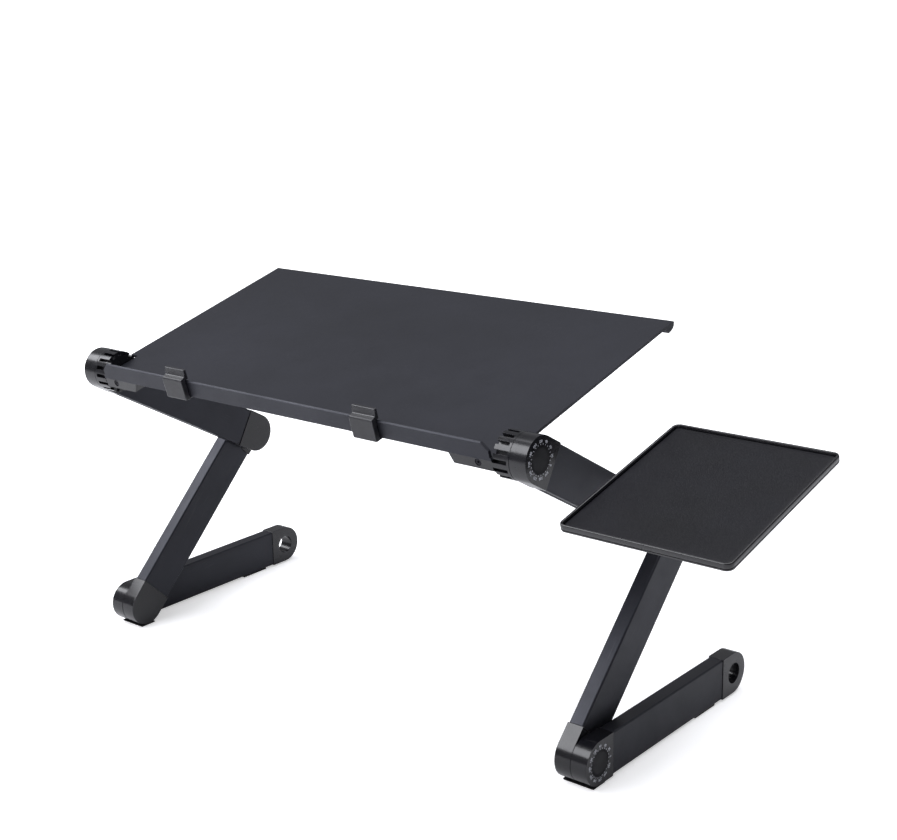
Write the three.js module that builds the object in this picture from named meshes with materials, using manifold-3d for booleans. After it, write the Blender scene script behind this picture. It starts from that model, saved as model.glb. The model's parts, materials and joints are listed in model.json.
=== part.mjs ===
// Folding laptop stand: a sheet aluminium top on two three-piece folding legs, with a mouse
// tray clamped to the right leg. Millimetres, +Z up, X to the right, Y to the back.
// The origin is on the floor, under the middle of the object's box.
import * as THREE from 'three';
import { mergeVertices } from 'three/addons/utils/BufferGeometryUtils.js';
import Module from 'manifold-3d';

const wasm = await Module();
wasm.setup();

// ---------------------------------------------------------------- driving dimensions
const GAP = 0.3;                 // clearance between pieces that touch
const STEP_DEG = 15;             // the locking joints stop every 15 degrees
const LOCK_TEETH = 360 / STEP_DEG;

// Rest pose, in degrees from the floor.
const TOP_TILT = 15;
const UPPER_TILT = -30;
const MIDDLE_TILT = -135;
const FOOT_TILT = 0;
const TRAY_TILT = 13.6;

const TOP = {
  width: 480, depth: 252, sheet: 2.6,
  lipHeight: 13, lipThickness: 3, lipEnd: 229, lipChamfer: 7,
  noseDrop: 8, noseLength: 13,
  railFront: 10, railDepth: 6, railDrop: 9.2,
  notchSide: 230.2, notchBack: 42.5,
};
const PIVOT = { back: 20, down: 6 };   // upper joint axis, behind the lip's face and below the top

const LEG = {
  length: 213,                   // joint to joint, the same on all three pieces of a leg
  capRadius: 19.5, capWidth: 15.5, capReach: 19,
  pitch: 16,                     // from one piece of a leg to the next, along X
  inner: 246.5,                  // inner face of the upper piece, from the middle of the stand
  tubeHeight: 38, tubeWidth: 14.1, tubeWall: 1.6, tubeCorner: 1.6,
  grooveWidth: 3.4, grooveDepth: 0.7,      // along the side of each tube that faces down
  spigotLength: 17, spigotHeight: 34.2, spigotWidth: 10.3,
  eyeRadius: 9.5,
};

const HUB = { inner: 231, outer: 246, coreRadius: 15.6, slots: 16, slotWidth: 3.3, slotEnd: 2.2 };
const ARM = { inner: 187, front: 0.8, back: 38, low: 11.8, chamfer: 4 };
const SCREW = { side: 216, down: 6.3, headRadius: 2.9, headDepth: 2.4, shankRadius: 1.6, length: 12 };

// Lock inside each joint, measured outwards from the inner face of the outer piece.
const LOCK = {
  socketDepth: 11, cupDepth: 4.6, webTop: 7, tip: 12, root: 10.4, clear: 0.45,
  gearLow: -4, gearHigh: 4.3,
  shaftRadius: 3, headRadius: 5, headHeight: 1.6, shaftLow: -14,
  pocketRadius: 11.7, buttonRadius: 11.3, buttonFace: 15.3, buttonThickness: 1.6, skirtLow: 12,
  skirtWall: 1.5, legCircle: 8.5, legRadius: 1.4, legs: 3,
};
const SPRING = {
  radius: 6.4, wire: 0.5, turns: 3, stepsPerTurn: 8, halfSides: 2, low: -10.8, high: -4.9,
};

const SOLE = { drop: 1.5, halfLength: 9, margin: 0.5 };
const HEEL = { start: 150, length: 34, width: 12 };

const CLIP = {
  width: 25, leftAt: -123, rightAt: 105,
  front: 6, bottom: 4.4, hookBack: 9, shoulder: 2.6, tabHeight: 10.5, tabThickness: 3,
};

const TRAY = {
  width: 144.4, depth: 167.6, height: 6.5, wall: 2.4, hollow: 1.2, web: 1.4, corner: 6,
  left: 299.5,                            // clear of all three pieces of the leg
  pivotAlong: 105.6, pivotOff: 31.9,      // hinge axis, along and above the upper leg piece
  pivotDown: 24,                          // hinge axis below the tray's rim
  pivotFromBack: 30,                      // hinge axis in front of the tray's back edge
  matThickness: 1.6, matInset: 4.2,
  lugThickness: 7, lugRadius: 8, lugFoot: 6, lugInner: 351, lugOuter: 378,
};
const CLAMP = {
  along: 165, halfLength: 12,             // place on the upper leg piece
  cheekIn: 4.4, cheekOut: 0.95, under: 3.5, passageTop: 23, roofTop: 27,
  barOff: 30, barRadius: 7,               // bar that crosses to the crank, above the leg
  crankFrom: 331, crankTo: 340, crankRadius: 8,
  keeperThickness: 2.6, keeperDimple: 0.8,
  pinRadius: 4, pinStart: 333, pinHeadRadius: 6.5, pinHead: 4,
  knobRadius: 6.8, knobFrom: 38.5, knobTo: 45, knobLobes: 8, knobDip: 0.55, stemRadius: 2.4,
};

const FINE = 36;                 // sides of a visible round
const COARSE = 16;               // sides of a small or hidden round
const ARC = 8;                  // an arc in an outline takes twice as many steps
const CORNER = 2;                // the same for a small rounded corner
const SMALL = 8;                 // sides of a screw's shank or a button's leg

// ---------------------------------------------------------------- finishes
const finish = (color, roughness, metalness) =>
  new THREE.MeshStandardMaterial({ color, roughness, metalness });
const ANODISED = finish(0x3b3c42, 0.45, 0.85);
const TUBING = finish(0x37383d, 0.42, 0.85);
const MOULDED = finish(0x232327, 0.38, 0.0);
const BUTTON = finish(0x1d1d21, 0.55, 0.0);
const STEEL = finish(0x8d9096, 0.35, 1.0);
const RUBBER = finish(0x141416, 0.9, 0.0);
const TRAY_SHELL = finish(0x17171b, 0.3, 0.0);
const TRAY_PAD = finish(0x1b1b20, 0.5, 0.0);

// ---------------------------------------------------------------- geometry helpers
const deg = THREE.MathUtils.degToRad;
const X_AXIS = new THREE.Vector3(1, 0, 0);
const Y_AXIS = new THREE.Vector3(0, 1, 0);
const Z_AXIS = new THREE.Vector3(0, 0, 1);

// A shape drawn in Y and Z, carried along X from one place to another.
function prismX(shape, fromX, toX, curveSegments = ARC) {
  const low = Math.min(fromX, toX);
  const depth = Math.abs(toX - fromX);
  const geometry = new THREE.ExtrudeGeometry(shape, { depth, bevelEnabled: false, curveSegments });
  geometry.applyMatrix4(new THREE.Matrix4().makeBasis(Y_AXIS, Z_AXIS, X_AXIS));
  return geometry.translate(low, 0, 0);
}

// A shape drawn in X and Z, carried along Y.
function prismY(shape, fromY, toY, curveSegments = ARC) {
  const depth = toY - fromY;
  const geometry = new THREE.ExtrudeGeometry(shape, { depth, bevelEnabled: false, curveSegments });
  geometry.applyMatrix4(new THREE.Matrix4().makeBasis(X_AXIS, Z_AXIS, Y_AXIS.clone().negate()));
  return geometry.translate(0, toY, 0);
}

// A shape drawn in X and Y, carried up Z.
function prismZ(shape, fromZ, toZ, curveSegments = ARC) {
  const depth = toZ - fromZ;
  const geometry = new THREE.ExtrudeGeometry(shape, { depth, bevelEnabled: false, curveSegments });
  return geometry.translate(0, 0, fromZ);
}

function box(x0, x1, y0, y1, z0, z1) {
  const geometry = new THREE.BoxGeometry(Math.abs(x1 - x0), Math.abs(y1 - y0), Math.abs(z1 - z0));
  return geometry.translate((x0 + x1) / 2, (y0 + y1) / 2, (z0 + z1) / 2);
}

// A round bar along X, centred on the given point of the YZ plane.
function barX(radius, fromX, toX, y = 0, z = 0, sides = COARSE) {
  const geometry = new THREE.CylinderGeometry(radius, radius, Math.abs(toX - fromX), sides);
  geometry.rotateZ(-Math.PI / 2);
  return geometry.translate((fromX + toX) / 2, y, z);
}

function barY(radius, fromY, toY, x, z, sides = COARSE) {
  const geometry = new THREE.CylinderGeometry(radius, radius, Math.abs(toY - fromY), sides);
  return geometry.translate(x, (fromY + toY) / 2, z);
}

function barZ(radius, fromZ, toZ, x, y, sides = COARSE) {
  const geometry = new THREE.CylinderGeometry(radius, radius, Math.abs(toZ - fromZ), sides);
  geometry.rotateX(Math.PI / 2);
  return geometry.translate(x, y, (fromZ + toZ) / 2);
}

function polygon(points) {
  return new THREE.Shape(points.map(([a, b]) => new THREE.Vector2(a, b)));
}

function roundedRect(halfA, halfB, radius, hole = false) {
  const shape = hole ? new THREE.Path() : new THREE.Shape();
  shape.moveTo(-halfA + radius, -halfB);
  shape.lineTo(halfA - radius, -halfB);
  shape.absarc(halfA - radius, -halfB + radius, radius, -Math.PI / 2, 0);
  shape.lineTo(halfA, halfB - radius);
  shape.absarc(halfA - radius, halfB - radius, radius, 0, Math.PI / 2);
  shape.lineTo(-halfA + radius, halfB);
  shape.absarc(-halfA + radius, halfB - radius, radius, Math.PI / 2, Math.PI);
  shape.lineTo(-halfA, -halfB + radius);
  shape.absarc(-halfA + radius, -halfB + radius, radius, Math.PI, 1.5 * Math.PI);
  return shape;
}

// Star outline of the lock teeth, with one tooth along the first axis.
function toothShape(grow) {
  const points = [];
  for (let i = 0; i < 2 * LOCK_TEETH; i += 1) {
    const radius = (i % 2 === 0 ? LOCK.tip : LOCK.root) + grow;
    const angle = (i * Math.PI) / LOCK_TEETH;
    points.push([radius * Math.cos(angle), radius * Math.sin(angle)]);
  }
  return polygon(points);
}

// ---------------------------------------------------------------- joining and cutting
function toSolid(geometry) {
  const bare = geometry.clone();
  bare.deleteAttribute('normal');
  bare.deleteAttribute('uv');
  const merged = mergeVertices(bare, 1e-4);
  const vertProperties = Float32Array.from(merged.attributes.position.array);
  const triVerts = Uint32Array.from(merged.index.array);
  return new wasm.Manifold(new wasm.Mesh({ numProp: 3, vertProperties, triVerts }));
}

function toGeometry(solid) {
  const mesh = solid.getMesh();
  const geometry = new THREE.BufferGeometry();
  geometry.setAttribute('position', new THREE.BufferAttribute(mesh.vertProperties, 3));
  geometry.setIndex(new THREE.BufferAttribute(mesh.triVerts, 1));
  return geometry;
}

function carve(bodies, cuts) {
  let solid = toSolid(bodies[0]);
  for (const body of bodies.slice(1)) {
    solid = solid.add(toSolid(body));
  }
  for (const cut of cuts) {
    solid = solid.subtract(toSolid(cut));
  }
  return toGeometry(solid);
}

function piece(name, geometry, material) {
  const mesh = new THREE.Mesh(geometry, material);
  mesh.name = name;
  return mesh;
}

// ---------------------------------------------------------------- joint hardware
// Cut for an inner piece: the toothed socket, open outwards, and the blind hole for the shaft.
function socketCuts(side, face, y) {
  const teeth = prismX(toothShape(LOCK.clear), side * (face - LOCK.socketDepth), side * (face + 1));
  teeth.translate(0, y, 0);
  const start = face + GAP + 0.2 + LOCK.shaftLow - GAP;
  return [teeth, barX(LOCK.shaftRadius + GAP, side * start, side * face, y)];
}

// Cut for an outer piece: toothed cup on the inside, web with holes, button pocket outside.
function cupCuts(side, face, y) {
  const teeth = prismX(toothShape(LOCK.clear), side * (face - 1), side * (face + LOCK.cupDepth));
  teeth.translate(0, y, 0);
  const outer = face + LEG.capWidth + 1;
  const cuts = [
    teeth,
    barX(LOCK.shaftRadius + GAP, side * face, side * outer, y),
    barX(LOCK.pocketRadius, side * (face + LOCK.webTop), side * outer, y, 0, FINE),
  ];
  for (const [legY, legZ] of buttonLegs()) {
    cuts.push(barX(LOCK.legRadius + GAP, side * face, side * outer, y + legY, legZ, SMALL));
  }
  return cuts;
}

function buttonLegs() {
  const places = [];
  for (let i = 0; i < LOCK.legs; i += 1) {
    const angle = (i * 2 * Math.PI) / LOCK.legs;
    places.push([LOCK.legCircle * Math.cos(angle), LOCK.legCircle * Math.sin(angle)]);
  }
  return places;
}

// Shaft, lock gear, spring and push button of one joint; face is the outer piece's inner face.
function jointHardware(name, side, face, y) {
  const at = (s) => side * (face + s);
  const headLow = LOCK.webTop + GAP;
  const shaft = carve([
    barX(LOCK.shaftRadius, at(LOCK.shaftLow), at(headLow + 0.5), y),
    barX(LOCK.headRadius, at(headLow), at(headLow + LOCK.headHeight), y, 0),
  ], []);
  const gearBody = prismX(toothShape(0), at(LOCK.gearLow), at(LOCK.gearHigh)).translate(0, y, 0);
  const bore = barX(LOCK.shaftRadius + GAP, at(LOCK.gearLow - 1), at(LOCK.gearHigh + 1), y);
  const capLow = LOCK.buttonFace - LOCK.buttonThickness;
  const button = carve([
    barX(LOCK.buttonRadius, at(LOCK.skirtLow), at(LOCK.buttonFace), y, 0, FINE),
    ...buttonLegs().map(([legY, legZ]) =>
      barX(LOCK.legRadius, at(LOCK.gearHigh + GAP), at(capLow + 0.5), y + legY, legZ, SMALL)),
  ], [
    barX(LOCK.headRadius + 1, at(LOCK.skirtLow - 1), at(capLow), y),
  ]);
  return [
    piece(`${name}_pivot_screw`, shaft, STEEL),
    piece(`${name}_lock_gear`, carve([gearBody], [bore]), STEEL),
    piece(`${name}_lock_spring`, springGeometry(at(SPRING.low), at(SPRING.high), y), STEEL),
    piece(`${name}_push_button`, button, BUTTON),
  ];
}

function springGeometry(fromX, toX, y) {
  const steps = SPRING.turns * SPRING.stepsPerTurn;
  const points = [];
  for (let i = 0; i <= steps; i += 1) {
    const share = i / steps;
    const angle = share * SPRING.turns * 2 * Math.PI;
    const x = fromX + (toX - fromX) * share;
    const across = SPRING.radius * Math.cos(angle);
    points.push(new THREE.Vector3(x, y + across, SPRING.radius * Math.sin(angle)));
  }
  const wire = new THREE.Shape();
  wire.absarc(0, 0, SPRING.wire, 0, 2 * Math.PI);
  return new THREE.ExtrudeGeometry(wire, {
    steps, curveSegments: SPRING.halfSides, bevelEnabled: false,
    extrudePath: new THREE.CatmullRomCurve3(points),
  });
}

// ---------------------------------------------------------------- one piece of a leg
// Outline of an end cap in the leg piece's own frame; inward points to the piece's middle.
function capOutline(y, inward) {
  const shape = new THREE.Shape();
  const seam = y + inward * LEG.capReach;
  const turn = inward > 0 ? Math.PI / 2 : -Math.PI / 2;
  shape.moveTo(seam, inward * LEG.capRadius);
  shape.lineTo(y, inward * LEG.capRadius);
  shape.absarc(y, 0, LEG.capRadius, turn, turn + Math.PI);
  shape.lineTo(seam, -inward * LEG.capRadius);
  return shape;
}

function capBodies(side, inner, y, inward) {
  const middle = side * (inner + LEG.capWidth / 2);
  const seam = y + inward * LEG.capReach;
  return [
    prismX(capOutline(y, inward), side * inner, side * (inner + LEG.capWidth)),
    box(
      middle - LEG.spigotWidth / 2, middle + LEG.spigotWidth / 2,
      seam - inward, seam + inward * LEG.spigotLength,
      -LEG.spigotHeight / 2, LEG.spigotHeight / 2,
    ),
  ];
}

function tubeGeometry(side, inner, down) {
  const section = roundedRect(LEG.tubeWidth / 2, LEG.tubeHeight / 2, LEG.tubeCorner);
  const bore = roundedRect(
    LEG.tubeWidth / 2 - LEG.tubeWall, LEG.tubeHeight / 2 - LEG.tubeWall, LEG.tubeCorner / 2, true);
  section.holes.push(bore);
  const from = LEG.capReach + GAP;
  const to = LEG.length - LEG.capReach - GAP;
  const half = LEG.grooveWidth / 2;
  const bottom = down * (LEG.tubeHeight / 2 - LEG.grooveDepth);
  const beyond = down * (LEG.tubeHeight / 2 + 1);
  const low = Math.min(bottom, beyond);
  const groove = box(-half, half, from - 1, to + 1, low, Math.max(bottom, beyond));
  const tube = carve([prismY(section, from, to, CORNER)], [groove]);
  return tube.translate(side * (inner + LEG.capWidth / 2), 0, 0);
}

// Frame of a leg piece: origin on its upper joint, +Y down its length.
function legFrame(place, tilt) {
  const frame = new THREE.Group();
  frame.position.set(0, place.y, place.z);
  frame.rotation.x = deg(tilt);
  return frame;
}

function legEnd(place, tilt) {
  return {
    y: place.y + LEG.length * Math.cos(deg(tilt)),
    z: place.z + LEG.length * Math.sin(deg(tilt)),
  };
}

const UPPER_AT = { y: 0, z: 0 };
const MIDDLE_AT = legEnd(UPPER_AT, UPPER_TILT);
const FOOT_AT = legEnd(MIDDLE_AT, MIDDLE_TILT);

function leg(hand, side) {
  const group = new THREE.Group();
  const inner = [0, 1, 2].map((i) => LEG.inner + i * LEG.pitch);
  const outer = inner.map((s) => s + LEG.capWidth);

  const upper = legFrame(UPPER_AT, UPPER_TILT);
  upper.add(
    piece(`${hand}_upper_tube`, tubeGeometry(side, inner[0], -1), TUBING),
    piece(`${hand}_upper_dial_cap`,
      carve(capBodies(side, inner[0], 0, 1), cupCuts(side, inner[0], 0)), MOULDED),
    piece(`${hand}_upper_knee_cap`,
      carve(capBodies(side, inner[0], LEG.length, -1), socketCuts(side, outer[0], LEG.length)), MOULDED),
    ...jointHardware(`${hand}_top`, side, inner[0], 0),
  );

  const middle = legFrame(MIDDLE_AT, MIDDLE_TILT);
  middle.add(
    piece(`${hand}_middle_tube`, tubeGeometry(side, inner[1], 1), TUBING),
    piece(`${hand}_middle_dial_cap`,
      carve(capBodies(side, inner[1], 0, 1), cupCuts(side, inner[1], 0)), MOULDED),
    piece(`${hand}_middle_ankle_cap`,
      carve(capBodies(side, inner[1], LEG.length, -1), socketCuts(side, outer[1], LEG.length)), MOULDED),
    ...jointHardware(`${hand}_knee`, side, inner[1], 0),
  );

  const foot = legFrame(FOOT_AT, FOOT_TILT);
  const eye = barX(LEG.eyeRadius, side * (inner[2] - 1), side * (outer[2] + 1), LEG.length, 0, FINE);
  foot.add(
    piece(`${hand}_foot_tube`, tubeGeometry(side, inner[2], -1), TUBING),
    piece(`${hand}_foot_dial_cap`,
      carve(capBodies(side, inner[2], 0, 1), cupCuts(side, inner[2], 0)), MOULDED),
    piece(`${hand}_foot_eye_cap`, carve(capBodies(side, inner[2], LEG.length, -1), [eye]), MOULDED),
    ...jointHardware(`${hand}_ankle`, side, inner[2], 0),
    piece(`${hand}_sole_pad`, solePad(side, inner[1] + SOLE.margin, outer[2] - SOLE.margin), RUBBER),
    piece(`${hand}_heel_pad`, heelPad(side, inner[2] + LEG.capWidth / 2), RUBBER),
  );
  group.add(upper, middle, foot);
  return group;
}

// Rubber sole under the ankle joint. It is flat on top, so that the middle piece can swing over it.
function solePad(side, from, to) {
  const low = -LEG.capRadius - SOLE.drop;
  return box(side * from, side * to, -SOLE.halfLength, SOLE.halfLength, low, -LEG.capRadius - GAP);
}

// Rubber strip under the back end of the foot tube.
function heelPad(side, middle) {
  const low = -LEG.capRadius - SOLE.drop;
  const high = -LEG.tubeHeight / 2 - GAP;
  return box(
    side * middle - HEEL.width / 2, side * middle + HEEL.width / 2,
    HEEL.start, HEEL.start + HEEL.length, low, high,
  );
}

// ---------------------------------------------------------------- top plate and hubs
// The top is drawn with Y from the lip's front face and Z from its upper surface.
function topProfile() {
  const shape = new THREE.Shape();
  const back = TOP.depth;
  const noseStart = back - TOP.noseLength;
  const under = -TOP.sheet;
  shape.moveTo(0, under);
  shape.lineTo(TOP.railFront, under);
  shape.lineTo(TOP.railFront, -TOP.railDrop);
  shape.lineTo(TOP.railFront + TOP.railDepth, -TOP.railDrop);
  shape.lineTo(TOP.railFront + TOP.railDepth, under);
  shape.lineTo(noseStart, under);
  shape.lineTo(noseStart + 3, -TOP.noseDrop);
  shape.quadraticCurveTo(back - 1, -TOP.noseDrop, back, -TOP.sheet);
  shape.quadraticCurveTo(back, 0, back - 3, 0);
  shape.lineTo(TOP.lipThickness + 1.5, 0);
  shape.quadraticCurveTo(TOP.lipThickness, 0, TOP.lipThickness, 1.5);
  shape.lineTo(TOP.lipThickness, TOP.lipHeight - 1);
  shape.quadraticCurveTo(TOP.lipThickness / 2, TOP.lipHeight + 1, 0, TOP.lipHeight - 1);
  return shape;
}

function topPlate() {
  const half = TOP.width / 2;
  const plate = prismX(topProfile(), -half, half, 4);
  const cuts = [];
  for (const side of [-1, 1]) {
    const tall = TOP.lipHeight + 4;
    cuts.push(box(side * TOP.notchSide, side * (half + 1), -1, TOP.notchBack, -TOP.railDrop - 1, tall));
    cuts.push(box(side * TOP.lipEnd, side * (half + 1), -1, TOP.lipThickness + 2, 0.01, tall));
    const corner = polygon([
      [side * (TOP.lipEnd + 1), TOP.lipHeight - TOP.lipChamfer - 1],
      [side * (TOP.lipEnd + 1), tall],
      [side * (TOP.lipEnd - TOP.lipChamfer - 4), tall],
      [side * (TOP.lipEnd - TOP.lipChamfer), TOP.lipHeight],
    ]);
    cuts.push(prismY(corner, -1, TOP.lipThickness + 2));
    cuts.push(barY(SCREW.shankRadius + GAP, 0, TOP.railFront + TOP.railDepth + 1,
      side * SCREW.side, -SCREW.down, SMALL));
  }
  return carve([plate], cuts);
}

// Hub moulding: toothed socket with a castellated rim, and the arm that the top is screwed to.
function hubBracket(side) {
  const axisY = PIVOT.back;
  const axisZ = -PIVOT.down;
  const drum = barX(LEG.capRadius, side * HUB.inner, side * HUB.outer, axisY, axisZ, FINE);
  const armTop = -TOP.sheet - GAP;
  const arm = prismY(polygon([
    [side * ARM.inner, armTop],
    [side * (ARM.inner + ARM.chamfer), -ARM.low],
    [side * (HUB.inner + 1), -ARM.low],
    [side * (HUB.inner + 1), armTop],
  ]), ARM.front, ARM.back);
  const groove = box(
    side * (ARM.inner - 1), side * (HUB.inner - 0.5),
    TOP.railFront - GAP, TOP.railFront + TOP.railDepth + GAP,
    -TOP.railDrop - GAP, 0,
  );
  const cuts = [groove];
  const headFloor = ARM.front + SCREW.headDepth;
  cuts.push(
    barY(SCREW.headRadius + GAP, ARM.front - 1, headFloor, side * SCREW.side, -SCREW.down),
    barY(SCREW.shankRadius + GAP, 0, TOP.railFront + 1, side * SCREW.side, -SCREW.down, SMALL),
  );
  for (let i = 0; i < HUB.slots; i += 1) {
    const slot = box(
      side * (HUB.inner - 1), side * (HUB.outer - HUB.slotEnd),
      -HUB.slotWidth / 2, HUB.slotWidth / 2, HUB.coreRadius, LEG.capRadius + 1,
    );
    slot.rotateX(((i + 0.5) * 2 * Math.PI) / HUB.slots);
    cuts.push(slot.translate(0, axisY, axisZ));
  }
  for (const cut of socketCuts(side, HUB.outer, axisY)) {
    cuts.push(cut.translate(0, 0, axisZ));
  }
  return carve([drum, arm], cuts);
}

function bracketScrew(side) {
  const x = side * SCREW.side;
  const headBack = ARM.front + SCREW.headDepth - GAP;
  const drive = new THREE.CylinderGeometry(1.2, 1.2, 2, 6);
  drive.translate(x, ARM.front + 0.4, -SCREW.down);
  return carve([
    barY(SCREW.headRadius, ARM.front + 0.4, headBack, x, -SCREW.down),
    barY(SCREW.shankRadius, headBack - 0.5, headBack + SCREW.length, x, -SCREW.down, SMALL),
  ], [drive]);
}

// Stop clip: hooks round the lip from below and stands up as a tab in front of the laptop.
function stopClip(at) {
  const shape = new THREE.Shape();
  const lipFront = -GAP;
  const bodyTop = TOP.lipHeight + GAP + 0.4;
  const shoulder = bodyTop + CLIP.shoulder;
  const tabTop = TOP.lipHeight + CLIP.tabHeight;
  const hookTop = -TOP.sheet - GAP;
  shape.moveTo(lipFront, hookTop);
  shape.lineTo(lipFront, bodyTop);
  shape.lineTo(TOP.lipThickness, bodyTop);
  shape.lineTo(TOP.lipThickness, tabTop);
  shape.lineTo(TOP.lipThickness - CLIP.tabThickness, tabTop);
  shape.lineTo(TOP.lipThickness - CLIP.tabThickness - 1, shoulder + 1);
  shape.lineTo(-CLIP.front + 2, shoulder);
  shape.quadraticCurveTo(-CLIP.front, shoulder, -CLIP.front, shoulder - 2);
  shape.lineTo(-CLIP.front, -CLIP.bottom + 2);
  shape.quadraticCurveTo(-CLIP.front, -CLIP.bottom, -CLIP.front + 2, -CLIP.bottom);
  shape.lineTo(CLIP.hookBack, -CLIP.bottom);
  shape.lineTo(CLIP.hookBack, hookTop);
  return prismX(shape, at - CLIP.width / 2, at + CLIP.width / 2, 3);
}

function topAssembly() {
  const group = new THREE.Group();
  const frame = new THREE.Group();
  frame.position.set(0, -PIVOT.back, PIVOT.down);
  frame.add(
    piece('top_plate', topPlate(), ANODISED),
    piece('left_hub_bracket', hubBracket(-1), MOULDED),
    piece('right_hub_bracket', hubBracket(1), MOULDED),
    piece('left_bracket_screw', bracketScrew(-1), STEEL),
    piece('right_bracket_screw', bracketScrew(1), STEEL),
    piece('left_stop_clip', stopClip(CLIP.leftAt), MOULDED),
    piece('right_stop_clip', stopClip(CLIP.rightAt), MOULDED),
  );
  group.add(frame);
  group.rotation.x = deg(TOP_TILT);
  return group;
}

// ---------------------------------------------------------------- mouse tray and its clamp
// The clamp is drawn in the upper right leg piece's frame. It runs round the tube, a bar leaves
// it above the leg, and a crank brings the tray's hinge forwards.
const TUBE_IN = LEG.inner + (LEG.capWidth - LEG.tubeWidth) / 2;
const TUBE_OUT = TUBE_IN + LEG.tubeWidth;
const TUBE_MIDDLE = (TUBE_IN + TUBE_OUT) / 2;

function crankOutline() {
  const shape = new THREE.Shape();
  shape.absarc(CLAMP.along, CLAMP.barOff, CLAMP.crankRadius, -Math.PI / 2, Math.PI / 2);
  shape.lineTo(TRAY.pivotAlong, TRAY.pivotOff + CLAMP.crankRadius);
  shape.absarc(TRAY.pivotAlong, TRAY.pivotOff, CLAMP.crankRadius, Math.PI / 2, 1.5 * Math.PI);
  return shape;
}

function clampSaddle() {
  const from = CLAMP.along - CLAMP.halfLength;
  const to = CLAMP.along + CLAMP.halfLength;
  const under = -LEG.tubeHeight / 2 - GAP;
  const innerFace = TUBE_IN - GAP - CLAMP.cheekIn;
  const bossEnd = TRAY.lugInner - GAP;
  const bodies = [
    box(innerFace, TUBE_OUT + GAP + CLAMP.cheekOut, from, to, under - CLAMP.under, CLAMP.roofTop),
    barX(CLAMP.barRadius, innerFace, CLAMP.crankTo - 1, CLAMP.along, CLAMP.barOff, FINE),
    prismX(crankOutline(), CLAMP.crankFrom, CLAMP.crankTo),
    barX(CLAMP.crankRadius, CLAMP.crankTo - 1, bossEnd, TRAY.pivotAlong, TRAY.pivotOff, FINE),
  ];
  const cuts = [
    box(TUBE_IN - GAP, TUBE_OUT + GAP, from - 1, to + 1, under, CLAMP.passageTop),
    barZ(CLAMP.stemRadius + GAP, CLAMP.passageTop - 1, CLAMP.knobFrom, TUBE_MIDDLE, CLAMP.along),
    barX(CLAMP.pinRadius + GAP, CLAMP.pinStart - GAP, bossEnd + 1, TRAY.pivotAlong, TRAY.pivotOff),
  ];
  return carve(bodies, cuts);
}

// Plate between the thumb screw and the tube, with a dimple for the screw's tip.
function clampKeeper() {
  const low = LEG.tubeHeight / 2 + GAP;
  const high = low + CLAMP.keeperThickness;
  const half = CLAMP.halfLength - 1.5;
  const plate = box(TUBE_IN, TUBE_OUT, CLAMP.along - half, CLAMP.along + half, low, high);
  const bottom = high - CLAMP.keeperDimple;
  const dimple = barZ(CLAMP.stemRadius + GAP, bottom, high + 1, TUBE_MIDDLE, CLAMP.along);
  return carve([plate], [dimple]);
}

function thumbScrew() {
  const tip = LEG.tubeHeight / 2 + CLAMP.keeperThickness + 2 * GAP - CLAMP.keeperDimple;
  const knob = new THREE.Shape();
  const sides = CLAMP.knobLobes * 4;
  for (let i = 0; i < sides; i += 1) {
    const angle = (i * 2 * Math.PI) / sides;
    const radius = CLAMP.knobRadius - CLAMP.knobDip * (1 - Math.cos(angle * CLAMP.knobLobes));
    const x = TUBE_MIDDLE + radius * Math.cos(angle);
    const y = CLAMP.along + radius * Math.sin(angle);
    if (i === 0) {
      knob.moveTo(x, y);
    } else {
      knob.lineTo(x, y);
    }
  }
  return carve([
    prismZ(knob, CLAMP.knobFrom, CLAMP.knobTo),
    barZ(CLAMP.stemRadius, tip, CLAMP.knobFrom + 1, TUBE_MIDDLE, CLAMP.along),
  ], []);
}

function hingePin() {
  const headStart = TRAY.lugOuter + TRAY.lugThickness + GAP;
  return carve([
    barX(CLAMP.pinRadius, CLAMP.pinStart, headStart + 1, TRAY.pivotAlong, TRAY.pivotOff),
    barX(CLAMP.pinHeadRadius, headStart, headStart + CLAMP.pinHead, TRAY.pivotAlong, TRAY.pivotOff),
  ], []);
}

// A slab with the tray's outline, inset all round, between two heights.
function traySlab(inset, low, high) {
  const half = [TRAY.width / 2 - inset, TRAY.depth / 2 - inset];
  const slab = prismZ(roundedRect(...half, TRAY.corner - inset), low, high, 2 * CORNER);
  return slab.translate(TRAY.left + TRAY.width / 2, TRAY.pivotFromBack - TRAY.depth / 2, 0);
}

// The tray is drawn with its hinge axis at the frame's origin and its rim level.
function trayShell() {
  const rim = TRAY.pivotDown;
  const low = rim - TRAY.height;
  const underside = low + TRAY.hollow;
  const recess = underside + TRAY.web;
  const lugs = [];
  const holes = [];
  for (const start of [TRAY.lugInner, TRAY.lugOuter]) {
    const lug = new THREE.Shape();
    lug.moveTo(-TRAY.lugRadius - TRAY.lugFoot, underside + TRAY.web / 2);
    lug.lineTo(-TRAY.lugRadius, 0);
    lug.absarc(0, 0, TRAY.lugRadius, Math.PI, 2 * Math.PI);
    lug.lineTo(TRAY.lugRadius + TRAY.lugFoot, underside + TRAY.web / 2);
    lugs.push(prismX(lug, start, start + TRAY.lugThickness));
    holes.push(barX(CLAMP.pinRadius + GAP, start - 1, start + TRAY.lugThickness + 1));
  }
  const shell = carve([traySlab(0, low, rim)], [
    traySlab(TRAY.wall, recess, rim + 1),
    traySlab(TRAY.wall, low - 1, underside),
  ]);
  return carve([shell, ...lugs], holes);
}

function trayMat() {
  const low = TRAY.pivotDown - TRAY.height + TRAY.hollow + TRAY.web + GAP;
  return traySlab(TRAY.matInset, low, low + TRAY.matThickness);
}

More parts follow.
